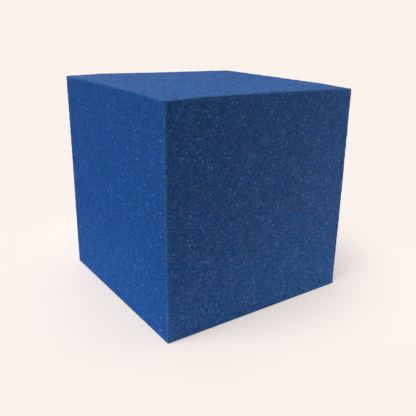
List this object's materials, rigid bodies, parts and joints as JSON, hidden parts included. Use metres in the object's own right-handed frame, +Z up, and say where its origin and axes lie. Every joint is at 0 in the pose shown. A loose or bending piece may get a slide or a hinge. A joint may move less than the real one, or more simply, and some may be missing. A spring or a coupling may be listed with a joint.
{
  "type": "foam block",
  "caption": "Plain near-cubic block of blue open-cell cushion foam with lightly softened cut edges, standing on a flat face.",
  "frame": {"origin": "centre of the face that the block stands on", "axes": "+Z up through the top face, +X along the width, +Y along the depth, away from the front face"},
  "size_m": [0.203, 0.198, 0.203],
  "materials": {
    "foam": "matte"
  },
  "bodies": {
    "root": {"foam_block": "foam"}
  },
  "joints": []
}
